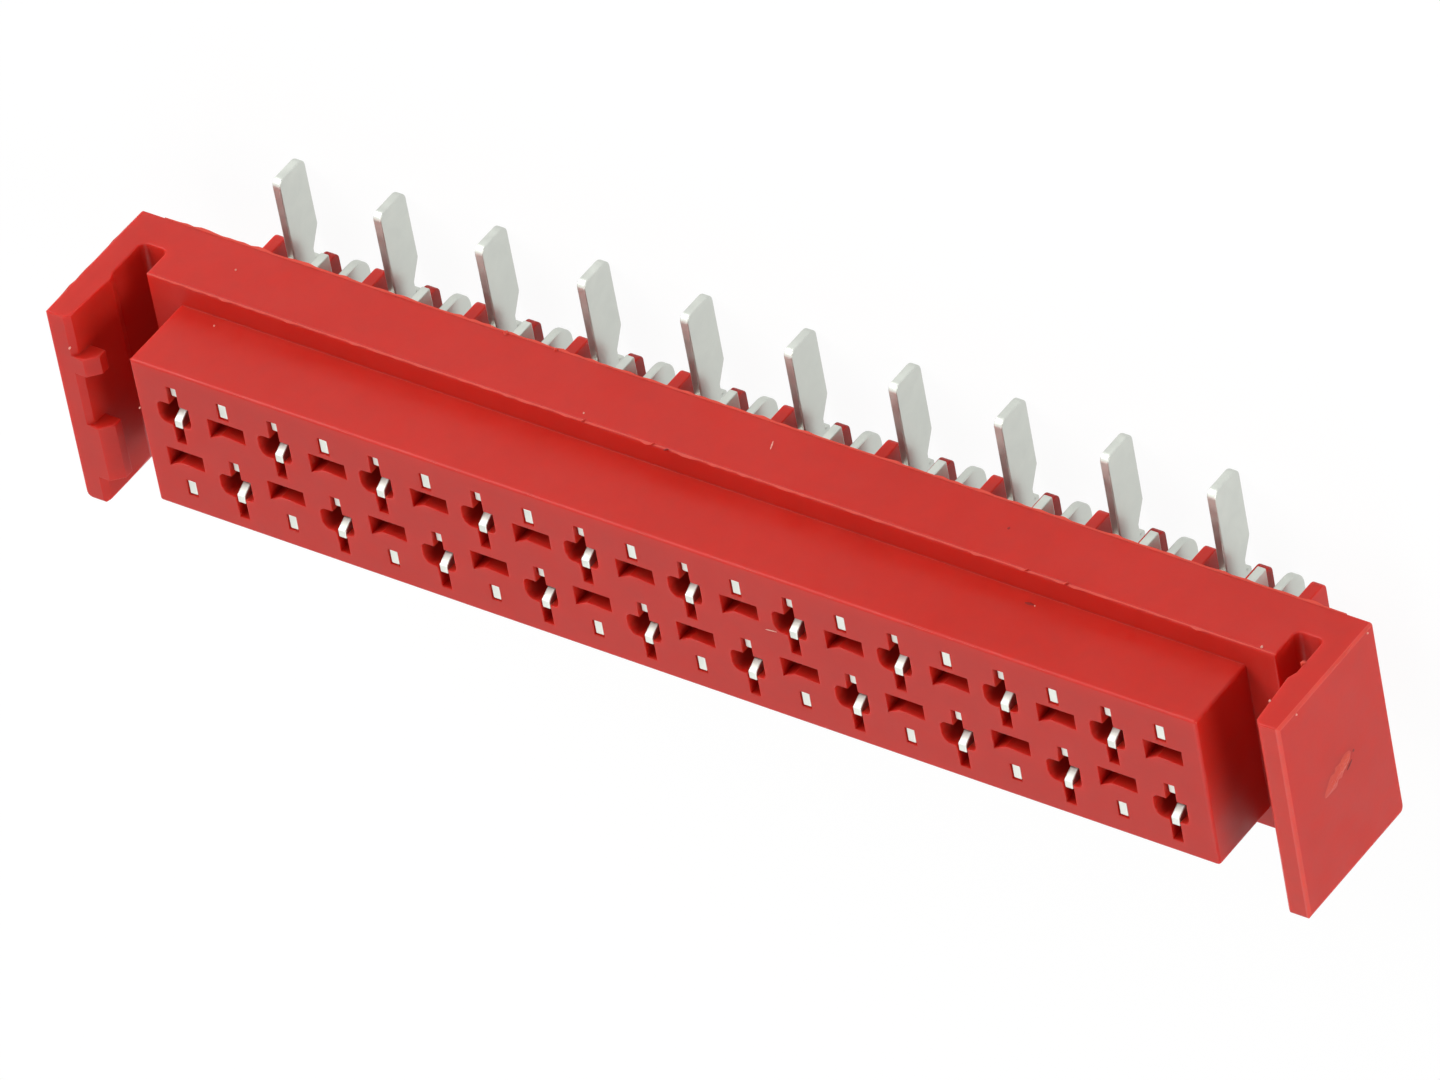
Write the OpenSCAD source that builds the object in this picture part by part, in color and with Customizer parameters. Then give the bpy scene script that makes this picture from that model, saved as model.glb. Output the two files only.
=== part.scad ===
// Board socket for a ribbon cable plug, in millimetres.
// X runs along the connector, Z is the mating direction and the board is the plane z = 0.
// Odd contacts have their feet towards +Y and even contacts towards -Y.

/* [Layout] */
// Number of contacts, in two staggered rows
ways = 20; // [4:2:50]
// Distance between neighbouring contacts along the connector
pitch = 1.27; // [1.25:0.01:2.54]
// Place of the forks of the odd contacts across the connector
odd_fork_y = 0.74; // [0.6:0.01:0.9]
// Place of the forks of the even contacts across the connector
even_fork_y = -0.83; // [-0.9:0.01:-0.6]

/* [Housing] */
// Height of the housing's underside above the board
standoff = 1.79; // [1.5:0.01:3]
// Thickness of the flange
flange_h = 1.62; // [1.2:0.01:3]
// Width of the flange
flange_w = 4.97; // [4.6:0.01:8]
// Height of the contact block above the flange
block_h = 1.84; // [1:0.01:4]
// Width of the contact block
block_w = 3.85; // [3.5:0.01:4.5]
// Distance from the outermost contact to the end of the block
block_margin = 0.95; // [0.7:0.01:3]
// Radius of the block's upright corners
block_corner_r = 0.08; // [0.02:0.01:0.3]

/* [Comb under the housing] */
// Thickness of a rib between two contacts
rib_t = 0.28; // [0.15:0.01:0.5]
// Width of the comb, which is also the width of each contact's body
comb_w = 3.00; // [2.9:0.01:4]
// Gap between the ribs and the board
rib_lift = 0.30; // [0.05:0.01:0.6]
// Radius of a rib's lower corners
rib_corner_r = 0.16; // [0.02:0.01:0.4]

/* [Latches] */
// Length of flange between the block and the gap behind a latch plate
latch_seat = 0.76; // [0.3:0.01:3]
// Width of the gap behind a latch plate
latch_gap = 0.66; // [0.4:0.01:2]
// Thickness of the web that carries a latch plate
web_h = 0.83; // [0.4:0.01:1.1]
// Radius at the foot of the gap
gap_corner_r = 0.16; // [0.02:0.01:0.3]
// Thickness of a latch plate
plate_t = 0.60; // [0.4:0.01:1.5]
// Extra thickness of the plate's upper part
lip_t = 0.08; // [0.02:0.01:0.2]
// Height of the plate's thicker upper part
lip_h = 1.60; // [0.8:0.01:2]
// Height of the slope at the foot of the plate's thicker upper part
lip_slope_h = 0.20; // [0.02:0.01:0.4]
// Radius of a latch plate's upper corner on the -Y side
plate_upper_r = 0.10; // [0.02:0.01:0.8]
// Radius of a latch plate's lower corner on the -Y side
plate_lower_r = 0.26; // [0.02:0.01:0.8]
// Radius of the +X latch plate's upright edges on the -Y side
plate_edge_r = 0.14; // [0.02:0.01:0.2]
// Radius of the -X latch plate's upright edges on the -Y side
round_edge_r = 0.32; // [0.02:0.01:0.33]
// How far a latch plate reaches past the flange on the -Y side
plate_over = 0.12; // [0.02:0.01:0.3]
// Radius of a latch plate's outer upright edge on the +Y side
plate_front_r = 0.07; // [0.02:0.01:0.2]
// Radius of a latch plate's outer upper edge
plate_rim_r = 0.08; // [0.02:0.01:0.2]
// How much a latch plate's thicker part tapers towards its upper edge
taper_w = 0.10; // [0.02:0.01:0.2]
// Size of the chamfer on a latch plate's inner upper edge
plate_chamfer = 0.12; // [0.02:0.01:0.2]
// How far a latch nose stands out from the plate's thicker part
nose_out = 0.32; // [0.2:0.01:0.5]
// How far a nose already stands out at its upper edge
nose_start = 0.06; // [0.02:0.01:0.18]
// Height of a nose
nose_h = 0.48; // [0.3:0.01:0.7]
// Height of the lead-in slope at the upper edge of a nose
nose_lead_h = 0.24; // [0.05:0.01:0.28]
// Width of the wide nose, on the -Y side
wide_nose_w = 1.45; // [0.5:0.01:1.8]
// Centre of the wide nose across the connector
wide_nose_y = -1.18; // [-1.5:0.01:-1]
// Width of the narrow nose, on the +Y side
narrow_nose_w = 0.49; // [0.3:0.01:1.2]
// Centre of the narrow nose across the connector
narrow_nose_y = 1.17; // [0.5:0.01:1.5]
// Depth of the noses below the mating face at the +X end
deep_nose_drop = 0.45; // [0.1:0.01:1]

/* [Openings in the mating face] */
// Width of the plug opening along the connector
lobe_w = 0.80; // [0.5:0.01:1]
// Size of the plug opening across the connector
lobe_l = 0.55; // [0.3:0.01:0.7]
// Distance from a contact to the middle of its plug opening, towards -X
lobe_left = 0.05; // [0:0.01:0.15]
// Distance from the fork's place to the middle of the plug opening, towards the other row
lobe_shift = 0.03; // [0:0.01:0.08]
// Radius of the plug opening's lower left corner, seen from above
lobe_big_r = 0.22; // [0.1:0.01:0.35]
// Radius of the plug opening's two corners beside that one
lobe_small_r = 0.14; // [0.02:0.01:0.15]
// Width of the clearance pocket along the connector
pocket_w = 0.91; // [0.5:0.01:1]
// Size of the clearance pocket across the connector
pocket_l = 0.39; // [0.3:0.01:0.5]
// How far the pocket's lower left corner reaches past its edge, seen from above
pocket_corner = 0.12; // [0.02:0.01:0.2]
// Width of that corner along the connector
pocket_corner_w = 0.30; // [0.1:0.01:0.4]
// How far the pocket's lower edge comes in beside that corner
pocket_dent = 0.04; // [0.01:0.01:0.1]
// Centre of the clearance pocket of the odd contacts across the connector
odd_pocket_y = -0.47; // [-0.6:0.01:-0.45]
// Centre of the clearance pocket of the even contacts across the connector
even_pocket_y = 0.74; // [0.5:0.01:0.78]
// Depth of the plug openings and the clearance pockets
opening_depth = 2.40; // [1:0.01:2.8]

/* [Contacts] */
// Thickness of the sheet that the contacts are stamped from
contact_t = 0.20; // [0.1:0.01:0.3]
// Clearance between a contact and the sides of its slots
slot_gap = 0.025; // [0.005:0.005:0.1]
// Clearance between a contact's shoulder and the housing's underside
seat_gap = 0.02; // [0.005:0.005:0.1]
// Depth of the spring prongs' tips below the mating face
spring_tip_drop = 0.02; // [0:0.01:0.3]
// Depth of the fixed prongs' tips below the mating face
fixed_tip_drop = 0.10; // [0:0.01:0.5]
// Depth of the anchor legs' tips below the mating face
leg_tip_drop = 0.03; // [0:0.01:0.5]
// Distance from the fork's place to the fixed prong
fixed_prong_y = 0.32; // [0.2:0.01:0.5]
// Width of the fixed prong
fixed_prong_w = 0.38; // [0.15:0.01:0.42]
// Size of the chamfer on the fixed prong's inner corner
fixed_prong_chamfer = 0.10; // [0.02:0.01:0.14]
// Distance from the fork's place to the spring prong's contact face, towards -Y
spring_face_y = 0.03; // [0:0.01:0.15]
// Depth of the contact face's upper edge below the prong's tip
spring_lead_h = 0.27; // [0.1:0.01:0.5]
// Height of the contact face
spring_face_h = 0.30; // [0.1:0.01:0.6]
// Height of the slope under the contact face
spring_slope_h = 0.40; // [0.1:0.01:0.8]
// How far the contact face stands out from the prong
spring_bump = 0.15; // [0.05:0.01:0.2]
// Width of the spring prong at its tip
spring_tip_w = 0.20; // [0.12:0.01:0.3]
// Width of the spring prong at its root
spring_root_w = 0.38; // [0.2:0.01:0.45]
// Room behind the spring prong's root for its travel
spring_room = 0.22; // [0.05:0.01:0.25]
// Width of the anchor leg
leg_w = 0.36; // [0.2:0.01:0.4]
// Centre of the anchor leg of the odd contacts across the connector
odd_leg_y = -1.27; // [-1.29:0.01:-1.2]
// Centre of the anchor leg of the even contacts across the connector
even_leg_y = 1.26; // [1.2:0.01:1.28]
// Gap between a contact's body and the board
body_lift = 0.11; // [0.02:0.01:0.3]
// Radius of the body's lower corner away from the foot
body_corner_r = 0.42; // [0.1:0.01:0.8]
// Distance from the centre line to the end of the shoulder
shoulder_reach = 2.38; // [2.1:0.01:3]
// Height of the shoulder
shoulder_h = 0.53; // [0.2:0.01:0.8]

/* [Soldering foot] */
// Distance from the centre line to the toe
foot_reach = 3.58; // [3.3:0.01:5]
// Height of the foot
foot_h = 0.90; // [0.7:0.01:1.2]
// Distance from the centre line to the start of the soldering edge
heel_y = 1.80; // [1.7:0.01:2.3]
// Height of the notch between the heel and the body
notch_h = 0.27; // [0.2:0.01:0.4]
// Length of the notch inside the body
notch_l = 0.45; // [0.1:0.01:0.8]
// Length of the notch's level part, before the slope to the heel
notch_level_l = 0.28; // [0.02:0.01:0.35]
// Radius of the toe's upper corner
toe_upper_r = 0.17; // [0.05:0.01:0.3]
// Radius of the toe's lower corner
toe_lower_r = 0.20; // [0.05:0.01:0.3]

/* [Hidden] */
$fn = 48;
flange_z = standoff + flange_h;
mating_z = flange_z + block_h;
spring_tip_z = mating_z - spring_tip_drop;
fixed_tip_z = mating_z - fixed_tip_drop;
leg_tip_z = mating_z - leg_tip_drop;
body_top = standoff - seat_gap;
body_y = comb_w / 2;
row_half = (ways - 1) * pitch / 2;
block_x = row_half + block_margin;
gap_x = block_x + latch_seat;
plate_x = gap_x + latch_gap;
end_x = plate_x + plate_t;
lip_x = plate_x - lip_t;
slot_w = contact_t + 2 * slot_gap;
spring_front_y = spring_face_y + spring_bump;
spring_back_y = spring_front_y + spring_tip_w;
spring_root_y = spring_front_y + spring_root_w;
fixed_end_y = fixed_prong_y + fixed_prong_w;
// Length by which a cut runs past the face that it opens
through = 1;

function contact_name(i) = str("contact_", i);
function is_odd(i) = i % 2 == 1;
function contact_x(i) = (i - 1) * pitch - row_half;
function fork_y(i) = is_odd(i) ? odd_fork_y : even_fork_y;
function lobe_y(i) = fork_y(i) + (is_odd(i) ? -lobe_shift : lobe_shift);
function pocket_y(i) = is_odd(i) ? odd_pocket_y : even_pocket_y;
function leg_y(i) = is_odd(i) ? odd_leg_y : even_leg_y;

// Shapes that several sub-parts use

// Extrudes an outline drawn in Y and Z along X, to both sides of x = 0.
module along_x(length) {
    rotate([90, 0, 90])
        linear_extrude(length, center = true)
            children();
}

// Extrudes an outline drawn in X and Z along Y, to both sides of y = 0.
module along_y(length) {
    rotate([90, 0, 0])
        linear_extrude(length, center = true)
            children();
}

// A rectangle whose four corners, counted round from the lower left, each have a radius or 0.
module rounded_rect(low, high, radii) {
    corners = [low, [high.x, low.y], high, [low.x, high.y]];
    difference() {
        translate(low)
            square(high - low);
        for (k = [0 : 3])
            if (radii[k] > 0)
                translate(corners[k])
                    rotate(90 * k)
                        corner_waste(radii[k]);
    }
}

// What a radius takes off the lower left corner of a rectangle.
module corner_waste(r) {
    difference() {
        translate([-r, -r])
            square(2 * r);
        translate([r, r])
            circle(r);
    }
}

// Housing

module block() {
    corner = [block_x, block_w / 2];
    translate([0, 0, standoff])
        linear_extrude(mating_z - standoff)
            rounded_rect(-corner, corner, [for (k = [0 : 3]) block_corner_r]);
}

module flange() {
    along_x(2 * plate_x)
        translate([-flange_w / 2, standoff])
            square([flange_w, flange_h]);
}

module ribs() {
    for (i = [1 : ways + 1])
        translate([contact_x(i) - pitch / 2, 0, 0])
            along_x(rib_t)
                rounded_rect([-body_y, rib_lift], [body_y, flange_z], [rib_corner_r, rib_corner_r, 0, 0]);
}

// A latch plate at the +X end: its section, its face and its plan cut the same block.
module latch_plate(edge_r) {
    side = flange_w / 2;
    low = -side - plate_over;
    intersection() {
        along_y(flange_w + 2 * plate_over)
            plate_section();
        along_x(2 * end_x)
            rounded_rect([low, standoff], [side, mating_z], [plate_lower_r, 0, 0, plate_upper_r]);
        translate([0, 0, standoff])
            linear_extrude(mating_z - standoff)
                rounded_rect([lip_x, low], [end_x, side], [edge_r, edge_r, plate_front_r, 0]);
    }
}

// Section of a latch plate, thicker in its upper part, which tapers to a chamfer.
module plate_section() {
    lip_z = mating_z - lip_h;
    difference() {
        rounded_rect([lip_x, standoff], [end_x, mating_z], [0, 0, plate_rim_r, 0]);
        polygon([
            [lip_x - through, standoff - through],
            [plate_x, standoff - through],
            [plate_x, lip_z],
            [lip_x, lip_z + lip_slope_h],
            [lip_x + taper_w, mating_z - plate_chamfer],
            [lip_x + taper_w + plate_chamfer + through, mating_z + through],
            [lip_x - through, mating_z + through]
        ]);
    }
}

// The two noses on the inside of a latch plate, at the +X end.
module noses(drop) {
    nose(wide_nose_y, wide_nose_w, mating_z - drop);
    nose(narrow_nose_y, narrow_nose_w, mating_z - drop);
}

module nose(y, width, upper_z) {
    translate([0, y, 0])
        along_y(width)
            polygon([
                [end_x - plate_t / 2, upper_z],
                [lip_x - nose_start, upper_z],
                [lip_x - nose_out, upper_z - nose_lead_h],
                [lip_x - nose_out, upper_z - nose_h],
                [end_x - plate_t / 2, upper_z - nose_h]
            ]);
}

// The gap that leaves only the web under a latch plate, at the +X end.
module latch_cut() {
    along_y(flange_w + through)
        rounded_rect([gap_x, standoff + web_h], [plate_x, mating_z], [gap_corner_r, gap_corner_r, 0, 0]);
}

// Everything that is open in the block around one contact.
module contact_openings(i) {
    translate([contact_x(i), 0, 0]) {
        slot(fork_y(i) - spring_root_y - spring_room, fork_y(i) + fixed_end_y + slot_gap);
        slot(leg_y(i) - leg_w / 2 - slot_gap, leg_y(i) + leg_w / 2 + slot_gap);
        from_mating_face(opening_depth) {
            translate([-lobe_left, lobe_y(i)])
                plug_opening();
            translate([0, pocket_y(i)])
                clearance_pocket();
        }
    }
}

// A slot right through the housing, which a prong stands in.
module slot(y_from, y_to) {
    translate([-slot_w / 2, y_from, standoff - through])
        cube([slot_w, y_to - y_from, mating_z - standoff + 2 * through]);
}

module from_mating_face(depth) {
    translate([0, 0, mating_z - depth])
        linear_extrude(depth + through)
            children();
}

module plug_opening() {
    corner = [lobe_w, lobe_l] / 2;
    rounded_rect(-corner, corner, [lobe_big_r, lobe_small_r, 0, lobe_small_r]);
}

module clearance_pocket() {
    corner = [pocket_w, pocket_l] / 2;
    polygon([
        [-corner.x, -corner.y - pocket_corner],
        [-corner.x + pocket_corner_w, -corner.y + pocket_dent],
        [corner.x, -corner.y],
        corner,
        [-corner.x, corner.y]
    ]);
}

module housing() {
    color("#cc3c34")
        difference() {
            union() {
                block();
                ribs();
                difference() {
                    flange();
                    for (end = [0, 1])
                        mirror([end, 0, 0])
                            latch_cut();
                }
                latch_plate(plate_edge_r);
                noses(deep_nose_drop);
                mirror([1, 0, 0]) {
                    latch_plate(round_edge_r);
                    noses(0);
                }
            }
            for (i = [1 : ways])
                contact_openings(i);
        }
}

// Contacts

// The body under the housing and the foot, with the foot towards +Y.
module foot_outline() {
    difference() {
        rounded_rect([-body_y, body_lift], [body_y, body_top], [body_corner_r, 0, 0, 0]);
        translate([body_y - notch_l, body_lift - through])
            square([notch_l + through, notch_h - body_lift + through]);
    }
    translate([-shoulder_reach, body_top - shoulder_h])
        square([shoulder_reach, shoulder_h]);
    difference() {
        rounded_rect([body_y - notch_l, 0], [foot_reach, foot_h], [0, toe_lower_r, toe_upper_r, 0]);
        polygon([
            [body_y - notch_l - through, -through],
            [heel_y, -through],
            [heel_y, 0],
            [body_y - notch_l + notch_level_l, notch_h],
            [body_y - notch_l - through, notch_h]
        ]);
    }
}

module fixed_prong() {
    polygon([
        [fixed_prong_y, foot_h],
        [fixed_end_y, foot_h],
        [fixed_end_y, fixed_tip_z],
        [fixed_prong_y + fixed_prong_chamfer, fixed_tip_z],
        [fixed_prong_y, fixed_tip_z - fixed_prong_chamfer]
    ]);
}

module spring_prong() {
    face_top = spring_tip_z - spring_lead_h;
    face_foot = face_top - spring_face_h;
    polygon([
        [-spring_root_y, foot_h],
        [-spring_front_y, foot_h],
        [-spring_front_y, face_foot - spring_slope_h],
        [-spring_face_y, face_foot],
        [-spring_face_y, face_top],
        [-spring_front_y, spring_tip_z],
        [-spring_back_y, spring_tip_z]
    ]);
}

module contact(i) {
    color("#c8cac5")
        translate([contact_x(i), 0, 0])
            along_x(contact_t) {
                mirror([is_odd(i) ? 0 : 1, 0])
                    foot_outline();
                translate([fork_y(i), 0]) {
                    fixed_prong();
                    spring_prong();
                }
                translate([leg_y(i) - leg_w / 2, foot_h])
                    square([leg_w, leg_tip_z - foot_h]);
            }
}

housing();
for (i = [1 : ways])
    contact(i);
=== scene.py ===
"""Finish and studio picture of a board socket for a ribbon cable plug.

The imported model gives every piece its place. This script lays a moulding with softened edges and
softened stampings over the pieces, adds the marks that moulding leaves, gives the plastic and the
tin their materials, and sets up the floor, the lamps and the camera.
"""

import math

import bmesh
import bpy
import numpy as np
from mathutils import Euler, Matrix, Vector


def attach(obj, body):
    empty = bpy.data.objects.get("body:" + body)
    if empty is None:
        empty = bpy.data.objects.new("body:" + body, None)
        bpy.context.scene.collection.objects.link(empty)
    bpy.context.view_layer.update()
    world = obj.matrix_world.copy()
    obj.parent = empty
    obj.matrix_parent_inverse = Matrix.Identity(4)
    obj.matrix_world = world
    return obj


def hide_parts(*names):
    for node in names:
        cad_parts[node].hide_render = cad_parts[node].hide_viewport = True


bl_info = {
    "name": "Ribbon Cable Socket Finish",
    "version": (1, 0, 0),
    "blender": (4, 5, 0),
    "location": "3D View > Sidebar > Socket",
    "description": "Moulded plastic, tin plated contacts and a studio for a ribbon cable socket",
    "category": "Object",
}

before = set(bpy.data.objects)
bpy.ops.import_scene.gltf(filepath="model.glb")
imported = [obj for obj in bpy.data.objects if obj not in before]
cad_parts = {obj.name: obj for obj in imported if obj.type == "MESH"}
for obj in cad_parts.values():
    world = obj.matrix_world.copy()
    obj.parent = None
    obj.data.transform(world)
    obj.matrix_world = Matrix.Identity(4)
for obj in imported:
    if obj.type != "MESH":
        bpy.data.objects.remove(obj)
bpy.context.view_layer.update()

MM = 0.001
WHITE = (1, 1, 1, 1)

# Two faces that bend by less than this count as one flat face.
FLAT_ANGLE = math.radians(0.5)
# A face is square to an axis where more than this share of its normal lies along the axis.
SQUARE = 0.995

# Places on the housing, in millimetres, as the part's source has them.
UNDERSIDE_Z = 1.79
FLANGE_Z = 3.41
MATING_Z = 5.25
BLOCK_SIDE_Y = 1.925
FLANGE_SIDE_Y = 2.485
BLOCK_END_X = 13.015
GAP_X = 13.775
PLATE_X = 14.435
PLATE_END_X = 15.035
# How far from such a place something still lies at it, and how far it still lies beside it.
TOUCH = 0.01
RIM = 0.1

# Places of the lamps, in metres.
LAMP_PLACES = {
    "left": (-0.28, 0.28, 0.15),
    "right": (0.42, 0, 0.05),
    "top": (0, 0, 0.42),
    "back": (0, -0.30, 0.30),
    "front": (0, 0.42, 0.05),
}
CONTACTS = sorted(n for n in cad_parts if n.startswith("contact_"))


def length_setting(name, description, default_mm):
    """A length that is shown in the scene's unit and given here in millimetres."""
    return bpy.props.FloatProperty(
        name=name,
        description=description,
        default=default_mm * MM,
        min=0,
        unit="LENGTH",
        precision=6,
    )


def share_setting(name, description, default):
    """A number from 0 to 1."""
    return bpy.props.FloatProperty(
        name=name, description=description, default=default, min=0, max=1, subtype="FACTOR"
    )


def colour_setting(name, description, default):
    """A linear colour."""
    return bpy.props.FloatVectorProperty(
        name=name, description=description, default=default, min=0, max=1, size=3, subtype="COLOR"
    )


def lamp_setting(name, description, default):
    """The power of a lamp, in watts."""
    return bpy.props.FloatProperty(
        name=name, description=description, default=default, min=0, unit="POWER", precision=3
    )


class HousingFinish(bpy.types.PropertyGroup):
    """Sizes and colours of the moulded housing."""

    block_radius: length_setting("Block edges", "Radius of the edges round the mating face", 0.07)
    flange_radius: length_setting(
        "Flange edges", "Radius of the flange's two long front edges", 0.075
    )
    outer_radius: length_setting("Outer edges", "Radius of the moulding's other outer edges", 0.04)
    inner_radius: length_setting("Inner edges", "Radius of the moulding's inner edges", 0.009)
    rib_radius: length_setting("Rib edges", "Radius of the edges of the comb", 0.03)
    mouth_radius: length_setting(
        "Opening edges", "Radius where the openings meet the mating face", 0.018
    )
    colour: colour_setting("Plastic", "Colour of the moulded plastic", (0.57, 0.0225, 0.0125))
    # Painted highlight: a lighter copy of the plastic's colour on the +X plate's rounded edges,
    # where light falls brighter.
    plate_edge_highlight_colour: colour_setting(
        "Plate edge highlight", "Colour of the +X plate's rounded edges", (0.66, 0.083, 0.062)
    )
    # Painted sheen: a lighter, pinker copy of the plastic's colour on the +X plate's end face.
    plate_end_sheen_colour: colour_setting(
        "Plate end sheen", "Colour of the +X plate's end face", (0.615, 0.036, 0.021)
    )
    roughness: share_setting("Roughness", "Roughness of the moulded surface", 0.42)
    scatter: share_setting("Scatter", "Share of the light that scatters inside the plastic", 0.85)
    scatter_depth: length_setting(
        "Scatter depth", "How far red light travels inside the plastic", 0.45
    )


class MarkFinish(bpy.types.PropertyGroup):
    """Sizes and colours of the marks that moulding leaves."""

    gate_width: length_setting("Gate mark width", "Width of the torn gate mark", 0.36)
    gate_height: length_setting("Gate mark height", "Height of the torn gate mark", 0.02)
    flash_height: length_setting("Flash", "Greatest height of the flash along the edges", 0.1)
    crumb_size: length_setting("Crumbs", "Radius of the plastic crumbs on the moulding", 0.035)
    gate_colour: colour_setting("Gate mark colour", "Colour of the gate mark", (0.64, 0.065, 0.042))
    torn_colour: colour_setting("Torn plastic", "Colour of torn plastic", (0.68, 0.085, 0.050))
    flash_colour: colour_setting("Flash colour", "Colour of the thin flash", (0.68, 0.065, 0.040))
    crumb_colour: colour_setting("Crumb colour", "Colour of the crumbs", (0.80, 0.42, 0.34))
    speck_colour: colour_setting("Speck colour", "Colour of the dark specks", (0.26, 0.010, 0.006))


class ContactFinish(bpy.types.PropertyGroup):
    """Sizes and colours of the stamped contacts."""

    edge_radius: length_setting("Edges", "Radius of the stamped edges", 0.028)
    colour: colour_setting("Tin", "Colour of the tin plating", (0.595, 0.62, 0.575))
    roughness: share_setting("Roughness", "Roughness of the plating on the rolled faces", 0.36)
    sheared_roughness: share_setting("Sheared roughness", "Roughness of the sheared edges", 0.50)


class StudioSetup(bpy.types.PropertyGroup):
    """Floor, lamps and camera."""

    floor_width: bpy.props.FloatProperty(
        name="Floor", description="Width of the floor", default=1.6, min=0.1, unit="LENGTH"
    )
    sky: bpy.props.FloatProperty(
        name="Sky", description="Strength of the even light all round", default=0.12, min=0
    )
    lamp_width: bpy.props.FloatProperty(
        name="Lamps", description="Width of each square lamp", default=0.3, min=0.01, unit="LENGTH"
    )
    left: lamp_setting("Left lamp", "Power of the lamp beyond the -X end, on the +Y side", 1.40)
    right: lamp_setting("Right lamp", "Power of the lamp at the +X end", 1.50)
    top: lamp_setting("Top lamp", "Power of the lamp above the mating face", 0.41)
    back: lamp_setting("Back lamp", "Power of the lamp above the far side", 0.40)
    front: lamp_setting("Front lamp", "Power of the lamp before the long side", 0.38)
    focal_length: bpy.props.FloatProperty(
        name="Focal length",
        description="Focal length in millimetres",
        default=425.447,
        min=1,
        unit="CAMERA",
    )
    place: bpy.props.FloatVectorProperty(
        name="Camera",
        description="Place of the camera",
        default=(0.171374, 0.222958, 0.197260),
        size=3,
        subtype="TRANSLATION",
    )
    turn: bpy.props.FloatVectorProperty(
        name="Camera turn",
        description="Rotation of the camera",
        default=(math.radians(-46.92753), math.radians(33.70775), math.radians(-10.15185)),
        size=3,
        subtype="EULER",
    )


# Reading and writing mesh data


def read(items, name, width, kind):
    """One named property of every item of a mesh, as an array with a row for each item."""
    flat = np.zeros(len(items) * width, kind)
    items.foreach_get(name, flat)
    return flat.reshape(-1, width)


def write_attribute(mesh, name, kind, domain, values):
    """Puts an array into a named attribute of a mesh."""
    mesh.attributes.new(name, kind, domain).data.foreach_set("value", values)


def merged_copy(node, name):
    """A copy of a CAD node's mesh in which loose triangles are joined into large flat faces."""
    same_place = 1e-7
    mesh = bpy.data.meshes.new(name)
    work = bmesh.new()
    work.from_mesh(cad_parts[node].data)
    bmesh.ops.remove_doubles(work, verts=work.verts, dist=same_place)
    bmesh.ops.dissolve_limit(work, angle_limit=FLAT_ANGLE, verts=work.verts, edges=work.edges)
    work.to_mesh(mesh)
    work.free()
    return mesh


def frame_mating_face(mesh, width):
    """Cuts the mating face anew: a strip of one width along each side, and flat pieces inside.

    The strips lie between the outline and four new corners inside it, and small triangles join
    them round the outline's corners. The cuts that dissolving leaves can run close beside an
    edge, where rounding it would tear them. The width is in metres.
    """
    middle = read(mesh.polygons, "center", 3, np.float32) / MM
    upward = read(mesh.polygons, "normal", 3, np.float32)[:, 2] > SQUARE
    top = upward & (middle[:, 2] > MATING_Z - TOUCH) & (np.abs(middle[:, 0]) < BLOCK_END_X)
    work = bmesh.new()
    work.from_mesh(mesh)
    work.faces.ensure_lookup_table()
    bmesh.ops.delete(work, geom=[work.faces[i] for i in np.flatnonzero(top)], context="FACES")
    rims = [edge for edge in work.edges if edge.is_boundary]
    x, y, z = BLOCK_END_X * MM - width, BLOCK_SIDE_Y * MM - width, MATING_Z * MM
    inside = {(i, j): work.verts.new((i * x, j * y, z)) for i in (-1, 1) for j in (-1, 1)}
    for edge in rims:
        loop = edge.link_loops[0]
        first, second = loop.vert, loop.link_loop_next.vert
        if all(abs(end.co.x) > x or abs(end.co.y) > y for end in (first, second)):
            near = [inside[np.sign(end.co.x), np.sign(end.co.y)] for end in (first, second)]
            work.faces.new([second, first, *dict.fromkeys(near)])
    borders = [edge for edge in work.edges if edge.is_boundary]
    made = bmesh.ops.triangle_fill(work, use_beauty=True, edges=borders, normal=(0, 0, 1))["geom"]
    filled = {item for item in made if isinstance(item, bmesh.types.BMFace)}
    work.normal_update()
    downward = [face for face in work.faces if face in filled and face.normal.z < 0]
    bmesh.ops.reverse_faces(work, faces=downward)
    cuts = [edge for edge in work.edges if all(face in filled for face in edge.link_faces)]
    bmesh.ops.dissolve_limit(work, angle_limit=FLAT_ANGLE, verts=[], edges=cuts)
    work.to_mesh(mesh)
    work.free()


def edge_shapes(mesh):
    """Middle in millimetres, bend in degrees and whether it is hollow, for every edge.

    On a closed mesh each edge has two corners, so sorting the corners by edge pairs the faces. An
    edge is hollow where the first face's normal x the second's points against the edge's way
    round the first face.
    """
    ends = read(mesh.edges, "vertices", 2, np.int32)
    points = read(mesh.vertices, "co", 3, np.float32)
    normals = read(mesh.polygons, "normal", 3, np.float32)
    sizes = read(mesh.polygons, "loop_total", 1, np.int32)[:, 0]
    edge_of_corner = read(mesh.loops, "edge_index", 1, np.int32)[:, 0]
    corners = np.argsort(edge_of_corner, kind="stable").reshape(-1, 2)
    faces = np.repeat(np.arange(len(sizes)), sizes)[corners]
    first, second = normals[faces[:, 0]], normals[faces[:, 1]]
    bend = np.degrees(np.arccos(np.clip((first * second).sum(1), -1, 1)))
    starts = read(mesh.loops, "vertex_index", 1, np.int32)[corners[:, 0], 0]
    way = (points[ends[:, 1]] - points[ends[:, 0]]) * np.where(starts == ends[:, 0], 1, -1)[:, None]
    hollow = (np.cross(first, second) * way).sum(1) < 0
    return points[ends].mean(1) / MM, bend, hollow


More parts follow.
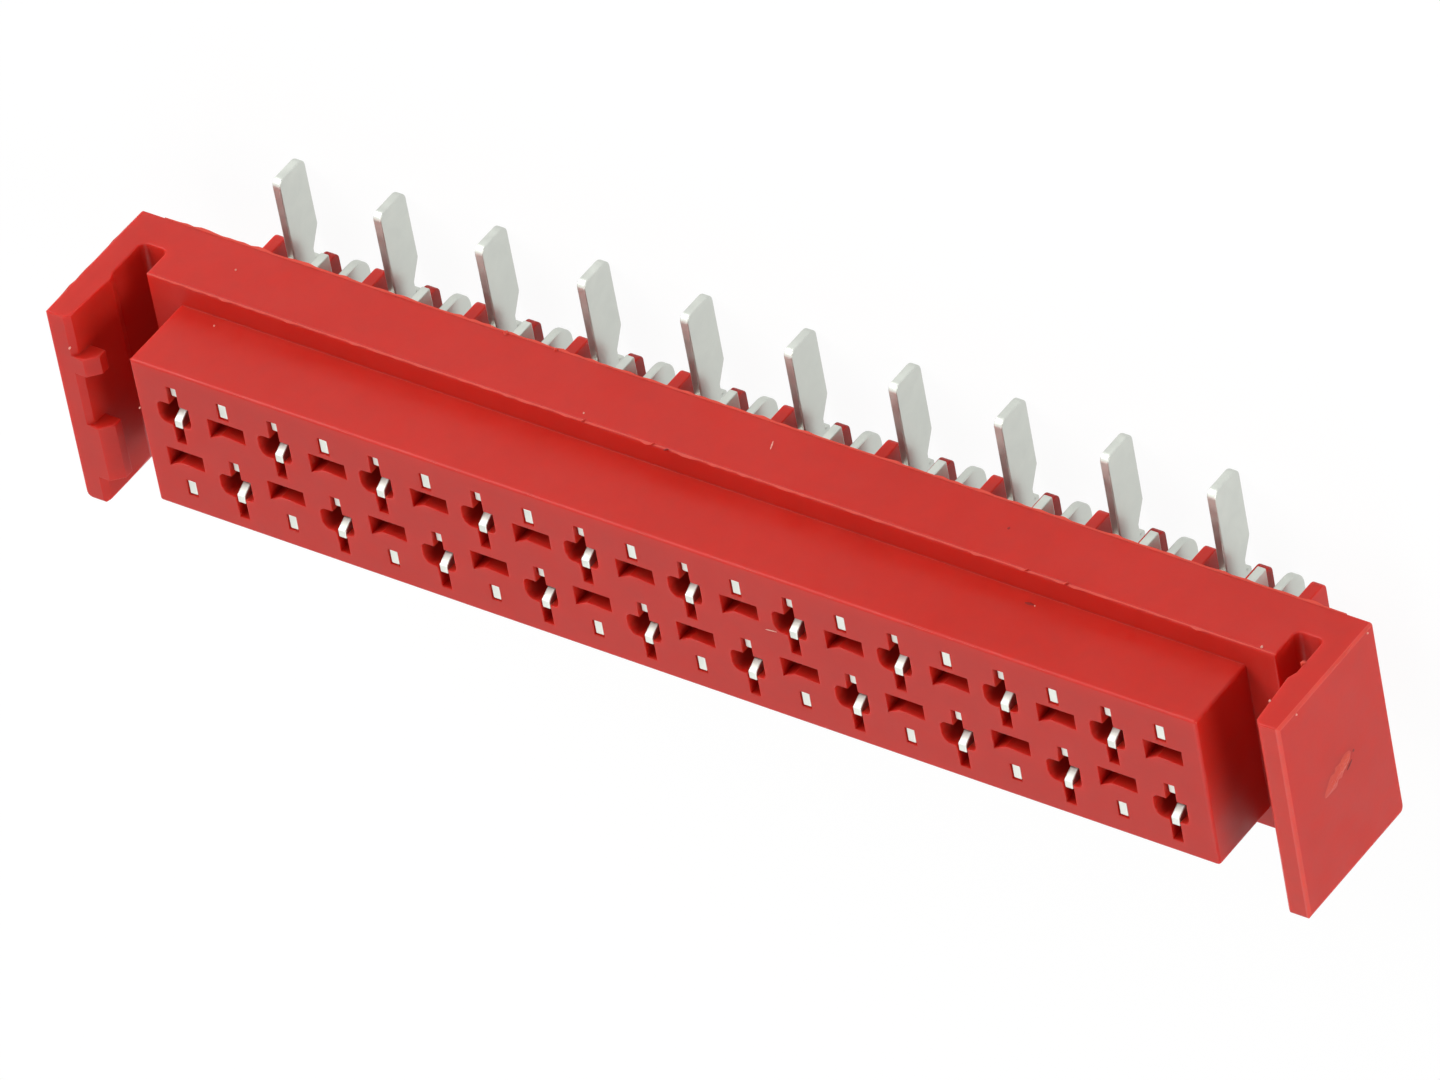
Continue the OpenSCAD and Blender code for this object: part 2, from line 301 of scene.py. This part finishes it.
def soften(piece, radii, bend, smooth_below):
    """Rounds each edge of a piece by its own radius, and shades bends below the limit as curved."""
    mesh = piece.data
    widest = float(radii.max())
    write_attribute(mesh, "bevel_weight_edge", "FLOAT", "EDGE", (radii / widest).astype(np.float32))
    write_attribute(mesh, "sharp_edge", "BOOLEAN", "EDGE", bend > smooth_below)
    mesh.polygons.foreach_set("use_smooth", np.ones(len(mesh.polygons), bool))
    bevel = piece.modifiers.new("Softened edges", "BEVEL")
    bevel.limit_method = "WEIGHT"
    bevel.offset_type = "OFFSET"
    bevel.width = widest
    bevel.segments = 3
    bevel.use_clamp_overlap = False
    bevel.loop_slide = False
    bevel.harden_normals = True


def new_piece(name, mesh, material):
    """An object at the origin that rides on the part's one body."""
    mesh.materials.clear()
    mesh.materials.append(material)
    piece = bpy.data.objects.new(name, mesh)
    bpy.context.scene.collection.objects.link(piece)
    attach(piece, "root")
    return piece


# Shader nodes


def shader(tree, kind, inputs=(), **settings):
    """Adds a shader node. An input is a value, or the output of another node."""
    made = tree.nodes.new(kind)
    for key, value in settings.items():
        setattr(made, key, value)
    for key, value in dict(inputs).items():
        if isinstance(value, bpy.types.NodeSocket):
            tree.links.new(value, made.inputs[key])
        else:
            made.inputs[key].default_value = value
    return made


def new_material(name):
    """An empty material with its output node."""
    material = bpy.data.materials.new(name)
    material.use_nodes = True
    material.node_tree.nodes.clear()
    return material, shader(material.node_tree, "ShaderNodeOutputMaterial")


def millimetres(tree):
    """The place on a piece, counted in millimetres."""
    place = shader(tree, "ShaderNodeTexCoord").outputs["Object"]
    return shader(
        tree, "ShaderNodeVectorMath", {0: place, "Scale": 1 / MM}, operation="SCALE"
    ).outputs[0]


def noise(tree, place, per_mm, detail=2.0, distortion=0.0):
    """Soft noise whose scale is counted per millimetre."""
    return shader(
        tree,
        "ShaderNodeTexNoise",
        {"Vector": place, "Scale": per_mm, "Detail": detail, "Distortion": distortion},
    ).outputs["Fac"]


def spread(tree, value, low, high, source=(0.3, 0.7)):
    """Carries a value from the source range to low and high."""
    first, last = source
    return shader(
        tree,
        "ShaderNodeMapRange",
        {"Value": value, "From Min": first, "From Max": last, "To Min": low, "To Max": high},
    ).outputs["Result"]


def tone(tree, factor, dark, light):
    """A colour between two others."""
    mixed = shader(
        tree,
        "ShaderNodeMix",
        {"Factor": factor, "A": (*dark, 1), "B": (*light, 1)},
        data_type="RGBA",
    )
    return mixed.outputs[2]


def bump(tree, height, distance, strength, under=None):
    """Turns a height into a bumpy normal, on top of another one."""
    inputs = {"Height": height, "Distance": distance, "Strength": strength}
    if under is not None:
        inputs["Normal"] = under
    return shader(tree, "ShaderNodeBump", inputs).outputs["Normal"]


def scaled(colour, factor):
    """A colour made darker or lighter."""
    return tuple(min(1.0, c * factor) for c in colour)


def plastic_material(name, colour, finish, grain, scatter=0.0):
    """Moulded plastic: clouded colour, uneven gloss, slight waviness and a fine grain.

    Scatter is the share of light that spreads inside. Thin marks have none.
    """
    material, out = new_material(name)
    tree = material.node_tree
    place = millimetres(tree)
    clouds = noise(tree, place, 0.35, detail=3, distortion=0.4)
    mottle = noise(tree, place, 2.6, detail=4)
    blend = shader(tree, "ShaderNodeMath", {0: clouds, 1: mottle}, operation="ADD").outputs[0]
    factor = spread(tree, blend, 0, 1, source=(0.75, 1.25))
    smears = noise(tree, place, 1.3, detail=3)
    gloss = spread(tree, smears, finish.roughness - 0.05, finish.roughness + 0.06)
    waves = bump(tree, noise(tree, place, 0.5, detail=1), distance=0.05 * MM, strength=0.35)
    fine = bump(tree, noise(tree, place, 11, detail=5), 0.006 * MM, grain, waves)
    dark, light = scaled(colour, 0.965), scaled(colour, 1.035)
    surface = shader(
        tree,
        "ShaderNodeBsdfPrincipled",
        {
            "Base Color": tone(tree, factor, dark, light),
            "Roughness": gloss,
            "IOR": 1.5,
            "Specular IOR Level": 0.30,
            "Subsurface Weight": scatter,
            "Subsurface Radius": (1.0, 0.12, 0.07),
            "Subsurface Scale": finish.scatter_depth,
            "Normal": fine,
        },
    )
    tree.links.new(surface.outputs[0], out.inputs["Surface"])
    return material


def tin_material(finish):
    """Matt tin: rolled faces with faint lines along the strip, and sheared edges with lines across.

    The rolled faces are the ones that face along X.
    """
    material, out = new_material("tin plating")
    tree = material.node_tree
    place = millimetres(tree)
    normal = shader(tree, "ShaderNodeNewGeometry").outputs["True Normal"]
    along_x = shader(tree, "ShaderNodeSeparateXYZ", {0: normal}).outputs["X"]
    facing = shader(tree, "ShaderNodeMath", {0: along_x}, operation="ABSOLUTE").outputs[0]
    rolled = spread(tree, facing, 0, 1, source=(0.6, 0.95))
    clouds = noise(tree, place, 1.7, detail=4, distortion=0.6)
    speckle = noise(tree, place, 22, detail=3)
    along = shader(tree, "ShaderNodeMapping", {"Vector": place, "Scale": (30, 26, 1.6)}).outputs[0]
    lines = noise(tree, along, 1)
    across = shader(tree, "ShaderNodeMapping", {"Vector": place, "Scale": (1.5, 34, 34)}).outputs[0]
    shear = noise(tree, across, 1)
    grooves = shader(
        tree, "ShaderNodeMix", {"Factor": rolled, "A": shear, "B": lines}, data_type="FLOAT"
    ).outputs[0]
    patches = spread(tree, clouds, -0.05, 0.07)
    base = shader(
        tree,
        "ShaderNodeMix",
        {"Factor": rolled, "A": finish.sheared_roughness, "B": finish.roughness},
        data_type="FLOAT",
    ).outputs[0]
    rough = shader(tree, "ShaderNodeMath", {0: base, 1: patches}, operation="ADD").outputs[0]
    depth = 0.004 * MM
    pits = bump(tree, speckle, depth, strength=0.3)
    relief = bump(tree, grooves, depth, strength=0.35, under=pits)
    dark, light = scaled(finish.colour, 0.95), scaled(finish.colour, 1.05)
    surface = shader(
        tree,
        "ShaderNodeBsdfPrincipled",
        {
            "Base Color": tone(tree, spread(tree, clouds, 0, 1), dark, light),
            "Metallic": 1.0,
            "Roughness": rough,
            "Normal": relief,
        },
    )
    tree.links.new(surface.outputs[0], out.inputs["Surface"])
    return material


# Moulding marks


def bar(start, end, outward, profile):
    """Points and faces of a closed bar that lies on a surface, all in millimetres.

    The profile has a ring of (across, outward) offsets for each station from start to end. A
    point is start plus its share of the way to end, plus its offsets along the direction across
    the bar, which is outward x along, and along outward. Rings run anticlockwise, seen from end.
    """
    start, end, outward = (np.asarray(v, float) for v in (start, end, outward))
    count, around = profile.shape[:2]
    way = end - start
    outward = outward / np.linalg.norm(outward)
    across = np.cross(outward, way / np.linalg.norm(way))
    stations = start + np.linspace(0, 1, count)[:, None] * way
    points = stations[:, None] + profile[..., :1] * across + profile[..., 1:] * outward
    ring = np.arange(around)
    after = np.roll(ring, -1)
    first = np.arange(count - 1)[:, None] * around
    second = first + around
    sides = np.stack([first + ring, first + after, second + after, second + ring], -1)
    ends = [ring[::-1].tolist(), (ring + (count - 1) * around).tolist()]
    return points.reshape(-1, 3), sides.reshape(-1, 4).tolist() + ends


def joined(name, bars):
    """One mesh of several closed bars."""
    points, faces, offset = [], [], 0
    for bar_points, bar_faces in bars:
        points.append(bar_points * MM)
        faces += [[corner + offset for corner in face] for face in bar_faces]
        offset += len(bar_points)
    mesh = bpy.data.meshes.new(name)
    mesh.from_pydata(np.concatenate(points), [], faces)
    return mesh


def uneven(rng, count, knots, power=1.0):
    """A line through random knots between 0 and 1. A high power keeps most of it low."""
    return np.interp(np.linspace(0, knots - 1, count), np.arange(knots), rng.random(knots) ** power)


def flash(rng, start, end, outward, tallest):
    """A thin uneven fin along an edge, which fades at both ends.

    Its ring is a triangle, sunk at its base. Its height is an even share of the tallest, plus the
    rest of it times an uneven line through cubed knots. Lengths are in millimetres.
    """
    ring_every, knot_every, fading_rings = 0.06, 0.18, 12
    even_share, base, sunk = 0.15, 0.02, 0.03
    length = float(np.linalg.norm(np.subtract(end, start)))
    count = max(3, int(length / ring_every))
    ragged = uneven(rng, count, max(2, int(length / knot_every)), 3)
    height = tallest * (even_share + (1 - even_share) * ragged)
    station = np.arange(count)
    height *= np.minimum(1, np.minimum(station, count - 1 - station) / fading_rings)
    profile = np.zeros((count, 3, 2))
    profile[:, 0] = (-base, -sunk)
    profile[:, 1] = (base, -sunk)
    profile[:, 2, 1] = height
    return bar(start, end, outward, profile)


def mound(rng, start, end, outward, width, tallest, rough):
    """A torn mound: its ring is a flat sunk base and a top that follows (1 - v^2)^1.4 across.

    v runs from -1 to 1 across the mound, and t from 0.004 to 0.996 along it. Width and height
    follow sin(pi t)^0.45, with uneven lines on top of both.
    """
    count, half, sunk = 40, 9, 0.02
    width_knots, height_knots = 12, 14
    swell = np.sin(np.pi * np.linspace(0.004, 0.996, count)) ** 0.45
    half_width = width / 2 * swell * (1 - rough / 2 + rough * uneven(rng, count, width_knots))
    v = np.linspace(-1, 1, half)
    lumps = np.stack([uneven(rng, count, height_knots) for _ in v], 1)
    top = tallest * swell[:, None] * (1 - v**2) ** 1.4 * (1 - rough + 2 * rough * lumps)
    profile = np.zeros((count, 2 * half, 2))
    profile[:, :half, 0] = half_width[:, None] * v
    profile[:, :half, 1] = -sunk
    profile[:, half:, 0] = half_width[:, None] * v[::-1]
    profile[:, half:, 1] = top[:, ::-1]
    return bar(start, end, outward, profile)


def crumb(rng, place, outward, size, flatness=1.0):
    """A small uneven lump, half sunk: rings of radius size * sqrt(1 - t^2), each a little off.

    t runs from -0.97 to 0.97 along the lump, which lies flat on its surface.
    """
    rings, around, widest_t = 7, 8, 0.97
    aside = (0.31, 0.52, 0.79)
    t = np.linspace(-widest_t, widest_t, rings)
    angle = np.arange(around) * 2 * np.pi / around
    radius = size * np.sqrt(1 - t**2)[:, None] * rng.uniform(0.75, 1.25, (rings, around))
    profile = np.stack([radius * np.cos(angle), radius * np.sin(angle) * flatness], -1)
    place, outward = np.asarray(place, float), np.asarray(outward, float)
    along = np.cross(outward, aside) * size
    return bar(place - along, place + along, outward, profile)


class SOCKET_OT_housing(bpy.types.Operator):
    """Lays a moulding with softened edges over the housing"""

    bl_idname = "socket.housing"
    bl_label = "Moulded housing"

    def execute(self, context):
        finish = context.scene.housing_finish
        mesh = merged_copy("housing", "moulded_housing")
        strip_width = 3 * finish.block_radius
        frame_mating_face(mesh, strip_width)
        middle, bend, hollow = edge_shapes(mesh)
        colours = {
            "moulded plastic": finish.colour,
            "plate edge plastic": finish.plate_edge_highlight_colour,
            "plate end plastic": finish.plate_end_sheen_colour,
        }
        grain, curved_below = 0.25, 15
        # The second and third materials are lighter copies of the plastic: a painted highlight on
        # the +X plate's rounded edges and a painted sheen on its end.
        plastic, *lighter = [
            plastic_material(name, colour, finish, grain, finish.scatter)
            for name, colour in colours.items()
        ]
        piece = new_piece("moulded_housing", mesh, plastic)
        for material in lighter:
            mesh.materials.append(material)
        mesh.polygons.foreach_set("material_index", self.plate_painted_light_index(mesh))
        soften(piece, self.edge_radii(finish, middle, bend, hollow), bend, curved_below)
        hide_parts("housing")
        return {"FINISHED"}

    def edge_radii(self, finish, middle, bend, hollow):
        """The radius of each edge, by the place of its middle.

        The flange's two long edges are those whose middle lies at x = 0. A bend below the corner
        angle stays as it is, and so do the edges beside the plates' own small arcs. A hollow edge
        gets no more than the inner radius, and all of that on the underside.
        """
        x, y, z = np.abs(middle[:, 0]), np.abs(middle[:, 1]), middle[:, 2]
        corner = 70
        outside = (y > BLOCK_SIDE_Y - RIM) | (x > BLOCK_END_X - RIM)
        on_block = (x < BLOCK_END_X + TOUCH) & (z > FLANGE_Z + TOUCH)
        on_flange = (np.abs(z - FLANGE_Z) < TOUCH) & (y > FLANGE_SIDE_Y - TOUCH) & (x < TOUCH)
        hidden_side = middle[:, 1] < 3 * RIM - FLANGE_SIDE_Y
        own_arcs = (x > GAP_X) & hidden_side
        own_arcs |= (x > PLATE_END_X - RIM) & (z > MATING_Z - RIM)
        radii = np.select(
            [z < UNDERSIDE_Z - TOUCH, outside & on_block, on_flange, outside, z > MATING_Z - TOUCH],
            [
                finish.rib_radius,
                finish.block_radius,
                finish.flange_radius,
                finish.outer_radius,
                finish.mouth_radius,
            ],
            0.0,
        )
        radii[hollow] = np.minimum(radii[hollow], finish.inner_radius)
        radii[hollow & (np.abs(z - UNDERSIDE_Z) < TOUCH)] = finish.inner_radius
        radii[(bend < corner) | own_arcs] = 0
        return radii

    def plate_painted_light_index(self, mesh):
        """1 on the +X plate's outer arcs, which get a painted highlight, 2 on its end towards the
        plug, which gets a painted sheen, 0 elsewhere.
        """
        x, y, z = (read(mesh.polygons, "center", 3, np.float32) / MM).T
        square = np.abs(read(mesh.polygons, "normal", 3, np.float32)).max(1) > SQUARE
        upper = (z > MATING_Z - RIM) | (y > FLANGE_SIDE_Y - RIM)
        # Painted highlight on the +X plate's rounded edges, painted sheen on its end face.
        highlit_edge = (x > PLATE_END_X - RIM) & upper & ~square
        sheened_end = (x > PLATE_X) & (z > MATING_Z - RIM) & square
        return highlit_edge + 2 * sheened_end


class SOCKET_OT_marks(bpy.types.Operator):
    """Adds the torn gate mark, the flash, the crumbs, two scratches and the dark specks"""

    bl_idname = "socket.marks"
    bl_label = "Moulding marks"

    def execute(self, context):
        finish = context.scene.mark_finish
        rng = np.random.default_rng(seed=7)
        tongue, *lumps = self.gate(rng, finish)
        self.lay("gate_mark", [tongue], finish.gate_colour)
        self.lay("gate_lumps", lumps, finish.torn_colour)
        self.lay("flash", self.edges(rng, finish.flash_height / MM), finish.flash_colour)
        self.lay("crumbs", self.crumbs(rng, finish.crumb_size / MM), finish.crumb_colour)
        self.lay("dark_specks", self.specks(rng, finish.crumb_size / MM), finish.speck_colour)
        return {"FINISHED"}

    def lay(self, name, bars, colour):
        """Makes one piece of several marks, in their own colour of plastic."""
        finish, grain = bpy.context.scene.housing_finish, 0.6
        material = plastic_material(name.replace("_", " "), colour, finish, grain)
        new_piece(name, joined(name, bars), material)

    def gate(self, rng, finish):
        """The torn tongue on the +X plate, and two lumps on it."""
        out, x = (1, 0, 0), PLATE_END_X
        width, height = finish.gate_width / MM, finish.gate_height / MM
        return [
            mound(rng, (x, 0.19, 3.15), (x, -0.21, 4.16), out, width, height, 0.5),
            mound(rng, (x, 0.15, 3.18), (x, -0.03, 3.70), out, 0.8 * width, 1.8 * height, 0.4),
            mound(rng, (x, -0.04, 3.72), (x, -0.15, 3.98), out, width / 2, 1.4 * height, 0.6),
        ]

    def edges(self, rng, tallest):
        """Fins along the flange, the block and the plates, and the lumps in and beside them.

        Each row gives the places, the direction that is outward, and the share of the tallest.
        """
        side, under = FLANGE_SIDE_Y, UNDERSIDE_Z
        y, z = FLANGE_SIDE_Y - 0.02, FLANGE_Z - 0.02
        block_y, block_z = BLOCK_SIDE_Y - 0.03, MATING_Z - 0.03
        plate_x, low, high = PLATE_END_X - 0.02, 1.85, 5.15
        fins = [
            ((-GAP_X, y, z), (GAP_X, y, z), (0, 0.4, 1), 1.0),
            ((-PLATE_X, side, under), (PLATE_X, side, under), (0, 0.5, -1), 0.5),
            ((-PLATE_X, -side, under), (PLATE_X, -side, under), (0, -0.5, -1), 0.5),
            ((-BLOCK_END_X, block_y, block_z), (BLOCK_END_X, block_y, block_z), (0, 1, 1), 0.25),
            ((plate_x, y, low), (plate_x, y, high), (1, 1, 0), 0.25),
            ((-plate_x, y, low), (-plate_x, y, high), (-1, 1, 0), 0.25),
        ]
        lumps = [
            ((PLATE_X - 0.02, side - 0.04, 3.36), (-1, 0, 0), 0.7),
            ((-2.86, side, z), (0, 0.4, 1), 0.5),
            ((-1.15, side, z), (0, 0.4, 1), 0.4),
            ((7.88, side, z), (0, 0.4, 1), 0.45),
            ((8.83, side, z), (0, 0.4, 1), 0.55),
            ((-5.83, side, under + 0.04), (0, 1, 0), 0.6),
            ((-4.59, side, under + 0.04), (0, 1, 0), 0.5),
        ]
        return [
            flash(rng, start, end, outward, share * tallest) for start, end, outward, share in fins
        ] + [crumb(rng, place, outward, share * tallest) for place, outward, share in lumps]

    def crumbs(self, rng, size):
        """Pale crumbs, a light scratch on the flange and one on the mating face."""
        places = [
            ((-14.56, 1.65, MATING_Z), (0, 0, 1), 1.0),
            ((-13.0, 0.6, MATING_Z), (0, 0, 1), 0.8),
            ((-2.96, FLANGE_SIDE_Y, 3.20), (0, 1, 0), 0.6),
            ((13.42, FLANGE_SIDE_Y, 3.33), (0, 1, 0), 0.9),
            ((14.42, FLANGE_SIDE_Y, 4.59), (0, 1, 0), 0.8),
            ((-12.11, FLANGE_SIDE_Y, 2.54), (0, 1, 0), 0.7),
            ((-11.97, BLOCK_SIDE_Y, 3.67), (0, 1, 0), 0.7),
            ((8.22, BLOCK_SIDE_Y, 3.72), (0, 1, 0), 0.5),
            ((PLATE_END_X, 2.38, 4.61), (1, 0, 0), 0.7),
            ((PLATE_END_X, 2.38, 2.01), (1, 0, 0), 0.7),
        ]
        y, z = FLANGE_SIDE_Y, MATING_Z
        scratches = [
            mound(rng, (1.06, y, 2.29), (1.15, y, 2.53), (0, 1, 0), 0.03, 0.004, 0.5),
            mound(rng, (2.49, 0.39, z), (2.78, 0.42, z), (0, 0, 1), 0.03, 0.006, 0.4),
        ]
        return scratches + [
            crumb(rng, place, outward, size * share) for place, outward, share in places
        ]

    def specks(self, rng, size):
        """Dark specks of overheated plastic, two of them flat, and two dark tears.

        One tear lies beside the gate mark and one on the block. The third speck is a crumb on the
        flange's edge.
        """
        places = [
            ((6.88, FLANGE_SIDE_Y, 2.49), (0, 1, 0), 1.0),
            ((PLATE_END_X, 0.12, 3.04), (1, 0, 0), 1.0),
        ]
        flatness = 0.12
        x, y = PLATE_END_X, BLOCK_SIDE_Y
        tears = [
            mound(rng, (x, -0.04, 3.13), (x, -0.17, 3.34), (1, 0, 0), 0.07, 0.008, 0.3),
            mound(rng, (7.98, y, 3.72), (8.19, y, 3.70), (0, 1, 0), 0.07, 0.006, 0.5),
            crumb(rng, (-0.79, FLANGE_SIDE_Y, FLANGE_Z + 0.01), (0, 0.5, 1), 1.5 * size),
        ]
        return tears + [
            crumb(rng, place, outward, size * share, flatness) for place, outward, share in places
        ]


class SOCKET_OT_contacts(bpy.types.Operator):
    """Lays a stamping with softened edges over each contact"""

    bl_idname = "socket.contacts"
    bl_label = "Stamped contacts"

    def execute(self, context):
        finish = context.scene.contact_finish
        tin = tin_material(finish)
        corner = 20
        for node in CONTACTS:
            mesh = merged_copy(node, "stamped_" + node)
            _, bend, hollow = edge_shapes(mesh)
            radii = np.where((bend > corner) & ~hollow, finish.edge_radius, 0.0)
            piece = new_piece("stamped_" + node, mesh, tin)
            soften(piece, radii, bend, corner)
            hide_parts(node)
        return {"FINISHED"}


class SOCKET_OT_studio(bpy.types.Operator):
    """Sets up the floor, the lamps and the camera"""

    bl_idname = "socket.studio"
    bl_label = "Studio"

    def execute(self, context):
        setup = context.scene.studio_setup
        self.lay_floor(setup)
        self.light_sky(context.scene, setup)
        for name, place in LAMP_PLACES.items():
            self.add_lamp(name + "_lamp", getattr(setup, name), place, setup.lamp_width)
        self.add_camera(context.scene, setup)
        context.scene.view_settings.view_transform = "Standard"
        return {"FINISHED"}

    def seen_directly(self, tree):
        """1 where a ray comes from the camera, or through gloss or glass."""
        rays = shader(tree, "ShaderNodeLightPath")
        shiny = shader(
            tree,
            "ShaderNodeMath",
            {0: rays.outputs["Is Glossy Ray"], 1: rays.outputs["Is Transmission Ray"]},
            operation="MAXIMUM",
        )
        return shader(
            tree,
            "ShaderNodeMath",
            {0: rays.outputs["Is Camera Ray"], 1: shiny.outputs[0]},
            operation="MAXIMUM",
        ).outputs[0]

    def lay_floor(self, setup):
        """A square floor under the feet, mostly plain white with a share that takes shadow."""
        half = setup.floor_width / 2
        mesh = bpy.data.meshes.new("floor")
        corners = np.array([(-half, -half, 0), (half, -half, 0), (half, half, 0), (-half, half, 0)])
        mesh.from_pydata(corners.tolist(), [], [(0, 1, 2, 3)])
        material, out = new_material("pale floor")
        tree = material.node_tree
        plain_share, plain_strength, grey = 0.92, 1.03, (0.86, 0.86, 0.86, 1)
        share = shader(
            tree,
            "ShaderNodeMath",
            {0: self.seen_directly(tree), 1: plain_share},
            operation="MULTIPLY",
        )
        matt = shader(tree, "ShaderNodeBsdfDiffuse", {"Color": grey})
        plain = shader(tree, "ShaderNodeEmission", {"Color": WHITE, "Strength": plain_strength})
        mixed = shader(
            tree,
            "ShaderNodeMixShader",
            {0: share.outputs[0], 1: matt.outputs[0], 2: plain.outputs[0]},
        )
        tree.links.new(mixed.outputs[0], out.inputs["Surface"])
        mesh.materials.append(material)
        floor = bpy.data.objects.new("floor", mesh)
        bpy.context.scene.collection.objects.link(floor)

    def light_sky(self, scene, setup):
        """Even light all round, which is plain white where it is seen."""
        world = bpy.data.worlds.new("studio")
        world.use_nodes = True
        tree = world.node_tree
        tree.nodes.clear()
        out = shader(tree, "ShaderNodeOutputWorld")
        even = shader(tree, "ShaderNodeBackground", {"Color": WHITE, "Strength": setup.sky})
        plain = shader(tree, "ShaderNodeBackground", {"Color": WHITE, "Strength": 1.0})
        mixed = shader(
            tree,
            "ShaderNodeMixShader",
            {0: self.seen_directly(tree), 1: even.outputs[0], 2: plain.outputs[0]},
        )
        tree.links.new(mixed.outputs[0], out.inputs["Surface"])
        scene.world = world

    def add_lamp(self, name, power, place, width):
        """A square lamp that faces the part."""
        data = bpy.data.lights.new(name, "AREA")
        data.energy = power
        data.size = width
        lamp = bpy.data.objects.new(name, data)
        lamp.location = place
        lamp.rotation_euler = Vector(place).to_track_quat("Z", "Y").to_euler()
        bpy.context.scene.collection.objects.link(lamp)

    def add_camera(self, scene, setup):
        """The camera as it was fitted to the picture."""
        data = bpy.data.cameras.new("camera")
        data.lens = setup.focal_length
        data.sensor_width = 36
        data.clip_start, data.clip_end = 0.01, 10
        camera = bpy.data.objects.new("camera", data)
        camera.location = setup.place
        camera.rotation_euler = Euler(setup.turn, "XYZ")
        scene.collection.objects.link(camera)
        scene.camera = camera


class SOCKET_PT_finish(bpy.types.Panel):
    """Lists the operators and settings of the socket's finish"""

    bl_idname = "SOCKET_PT_finish"
    bl_label = "Ribbon cable socket"
    bl_space_type = "VIEW_3D"
    bl_region_type = "UI"
    bl_category = "Socket"

    def draw(self, context):
        for operator in OPERATORS:
            self.layout.operator(operator.bl_idname)
        for name in SETTINGS:
            box = self.layout.box()
            settings = getattr(context.scene, name)
            for key in settings.bl_rna.properties.keys():
                if key not in ("rna_type", "name"):
                    box.prop(settings, key)


SETTINGS = {
    "housing_finish": HousingFinish,
    "mark_finish": MarkFinish,
    "contact_finish": ContactFinish,
    "studio_setup": StudioSetup,
}
OPERATORS = (SOCKET_OT_housing, SOCKET_OT_marks, SOCKET_OT_contacts, SOCKET_OT_studio)


def register():
    """Makes the settings, operators and panel known to Blender."""
    for kind in (*SETTINGS.values(), *OPERATORS, SOCKET_PT_finish):
        bpy.utils.register_class(kind)
    for name, kind in SETTINGS.items():
        setattr(bpy.types.Scene, name, bpy.props.PointerProperty(type=kind))


def unregister():
    """Takes back what register did."""
    for name in SETTINGS:
        delattr(bpy.types.Scene, name)
    for kind in (SOCKET_PT_finish, *OPERATORS, *SETTINGS.values()):
        bpy.utils.unregister_class(kind)


def main():
    """Dresses the part."""
    register()
    bpy.ops.socket.housing()
    bpy.ops.socket.marks()
    bpy.ops.socket.contacts()
    bpy.ops.socket.studio()


if __name__ == "__main__":
    main()
